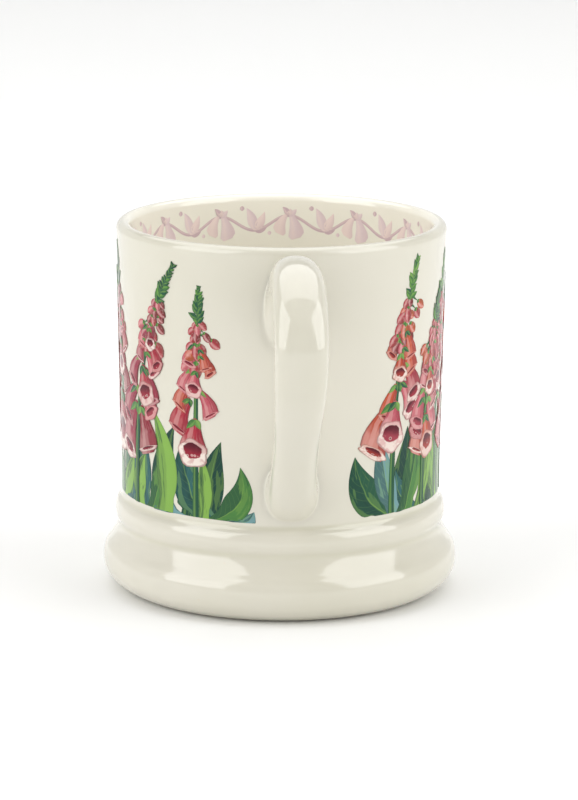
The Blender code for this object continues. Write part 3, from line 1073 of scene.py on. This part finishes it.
def leaf_ink():
    """A leaf in gouache: one half in shade, a light rib, broad brush marks and faint side veins."""
    paint = Paint("print_leaf")
    along, across, ink, grain = paint.shape_marks()
    light = paint.mix(0.40, ink, LEAF_LIGHT)
    dark = paint.mix(0.62, ink, LEAF_DEEP)
    wander = (paint.noise(paint.joined(along * 2.6, grain * 30.0, 0.0), 1.0) - 0.5) * 0.30
    middle = across + wander - 0.5
    halves = paint.mix(paint.rise(-0.015, 0.015, middle), dark, ink)
    brush = paint.brush(along, across, grain, (2.2, 3.6, 60.0))
    brushed = paint.mix(paint.rise(0.54, 0.58, brush) * 0.65, halves, light)
    dabbed = paint.mix(paint.fall(0.36, 0.40, brush) * 0.55, brushed, LEAF_DEEP)
    slant = along * 9.0 - abs(middle) * 4.0
    wave = paint.node("ShaderNodeMath", {"operation": "SINE"}, {0: slant * math.tau})
    veined = paint.mix(paint.rise(0.90, 1.0, wave) * 0.25, dabbed, light)
    rib = paint.fall(0.010, 0.030, abs(middle))
    ribbed = paint.mix(rib * 0.6 * (1 - along * 0.7), veined, LEAF_LIGHT)
    edge = paint.rise(0.45, 0.5, abs(across - 0.5)) * 0.45
    return paint.printed(paint.mix(edge, ribbed, LEAF_DEEP))


def plain_ink(name, shadow, light):
    """Stems, buds and the garland: the ink lit on one side and shaded on the other."""
    paint = Paint(name)
    along, across, ink, grain = paint.shape_marks()
    brush = paint.brush(along, across, grain, (4.0, 3.0, 60.0))
    shaded = paint.mix(paint.rise(0.35, 0.95, across) * 0.6, ink, paint.mix(0.6, ink, shadow))
    lit = paint.fall(0.0, 0.28, abs(across - 0.3)) * 0.45 + paint.rise(0.45, 0.75, brush) * 0.25
    return paint.printed(paint.mix(lit, shaded, light))


# ---------------------------------------------------------------------------- floor, light, camera


def flat_paint(name, colour):
    """A matt, faintly uneven surface for the stage."""
    paint = Paint(name)
    tone = paint.noise(paint.object_place(), 6.0)
    shade = paint.mix(tone * 0.04, colour, srgb(225, 225, 225))
    shader = paint.node("ShaderNodeBsdfPrincipled", {}, {"Base Color": shade, "Roughness": 0.9})
    paint.node("ShaderNodeOutputMaterial", {}, {"Surface": shader})
    return paint.material


STAGE_RADIUS = 2.6
STAGE_CURVE = 0.9
STAGE_TOP = 1.5
STAGE_AROUND = 96
STAGE_DROP = 0.05 * MM


def build_stage():
    """A pale floor that sweeps up all round into a low wall: a flat disc, a quarter circle, a wall."""
    flat = STAGE_RADIUS - STAGE_CURVE
    profile = np.vstack(
        [
            [(0.0, 0.0), (flat * 0.5, 0.0)],
            arc((flat, STAGE_CURVE), STAGE_CURVE, -90, 0, 24),
            [(STAGE_RADIUS, STAGE_TOP)],
        ]
    )
    rings = revolved(profile[1:], STAGE_AROUND, 0.0)
    points = np.vstack([rings.reshape(-1, 3), [(0, 0, 0)]]) - (0, 0, STAGE_DROP)
    quads = lattice(len(rings), STAGE_AROUND, wrapped=True)[:, ::-1]
    middle = fan(0, STAGE_AROUND, len(points) - 1)
    mesh = bpy.data.meshes.new("floor")
    mesh.from_pydata(points.tolist(), [], quads.tolist() + middle.tolist())
    mesh.shade_smooth()
    mesh.materials.append(flat_paint("floor_white", srgb(250, 250, 249)))
    floor = placed("floor", mesh)


def softbox(name, place, target, width, height, watts):
    """A rectangular studio lamp that faces the target."""
    lamp = bpy.data.lights.new(name, "AREA")
    lamp.shape = "RECTANGLE"
    lamp.size = width
    lamp.size_y = height
    lamp.energy = watts
    made = placed(name, lamp)
    made.location = place
    made.rotation_euler = (Vector(target) - Vector(place)).to_track_quat("-Z", "Y").to_euler()


SIDE_WATTS = 8.6
TOP_WATTS = 24.5
SKY_STRENGTH = 0.16


def build_light():
    """A softbox at each side with a dark gap between them, one overhead and a pale sky."""
    middle = (0, BOWL_Y, HEIGHT / 2)
    softbox("softbox_left", (-0.92, -0.50, 0.60), middle, 1.0, 1.15, SIDE_WATTS)
    softbox("softbox_right", (0.92, -0.50, 0.60), middle, 1.0, 1.15, SIDE_WATTS)
    softbox("softbox_top", (0.0, 0.75, 1.5), (0.0, 0.75, 0.0), 2.4, 2.1, TOP_WATTS)
    world = bpy.data.worlds.new("pale_sky")
    world.use_nodes = True
    sky = world.node_tree.nodes["Background"].inputs
    sky["Color"].default_value = (1.0, 1.0, 1.0, 1.0)
    sky["Strength"].default_value = SKY_STRENGTH
    bpy.context.scene.world = world
    bpy.context.scene.view_settings.view_transform = "Standard"


CAMERA_DISTANCE = 931.6 * MM
CAMERA_HEIGHT = 254.4 * MM
CAMERA_TURN = math.radians(-4.0)
CAMERA_YAW = math.radians(0.13)
CAMERA_PITCH = math.radians(12.57)
CAMERA_ROLL = math.radians(0.36)
CAMERA_LENS = 171.5


def build_camera():
    """The camera looks a little down at the mug, from a little to the left of its handle."""
    heading = CAMERA_YAW - CAMERA_TURN
    forward = Vector(
        (
            math.sin(heading) * math.cos(CAMERA_PITCH),
            math.cos(heading) * math.cos(CAMERA_PITCH),
            -math.sin(CAMERA_PITCH),
        )
    )
    right = forward.cross(Vector((0, 0, 1))).normalized()
    up = right.cross(forward)
    roll = Matrix.Rotation(-CAMERA_ROLL, 3, forward)
    right, up = roll @ right, roll @ up
    camera = placed("camera", bpy.data.cameras.new("camera"))
    camera.data.lens = CAMERA_LENS
    camera.data.sensor_width = 36.0
    place = Vector(
        (
            CAMERA_DISTANCE * math.sin(CAMERA_TURN),
            BOWL_Y - CAMERA_DISTANCE * math.cos(CAMERA_TURN),
            CAMERA_HEIGHT,
        )
    )
    axes = Matrix((right, up, -forward)).transposed()
    camera.matrix_world = Matrix.Translation(place) @ axes.to_4x4()
    bpy.context.scene.camera = camera


def main():
    """Builds the mug, its print and the studio round it."""
    shader_kit = {
        "bell": bell_ink(),
        "mouth": mouth_ink(),
        "leaf": leaf_ink(),
        "stem": plain_ink("print_stem", LEAF_DEEP, LEAF_LIGHT),
        "bud": plain_ink("print_bud", LEAF_DARK, PETAL_LIGHT),
        "lilac": plain_ink("print_lilac", LILAC_DEEP, LILAC_PINK),
    }
    build_body(body_glaze("cream_glaze_body"))
    build_handle(body_glaze("cream_glaze_handle"))
    build_band(shader_kit)
    build_garland(shader_kit)
    build_stage()
    build_light()
    build_camera()


main()
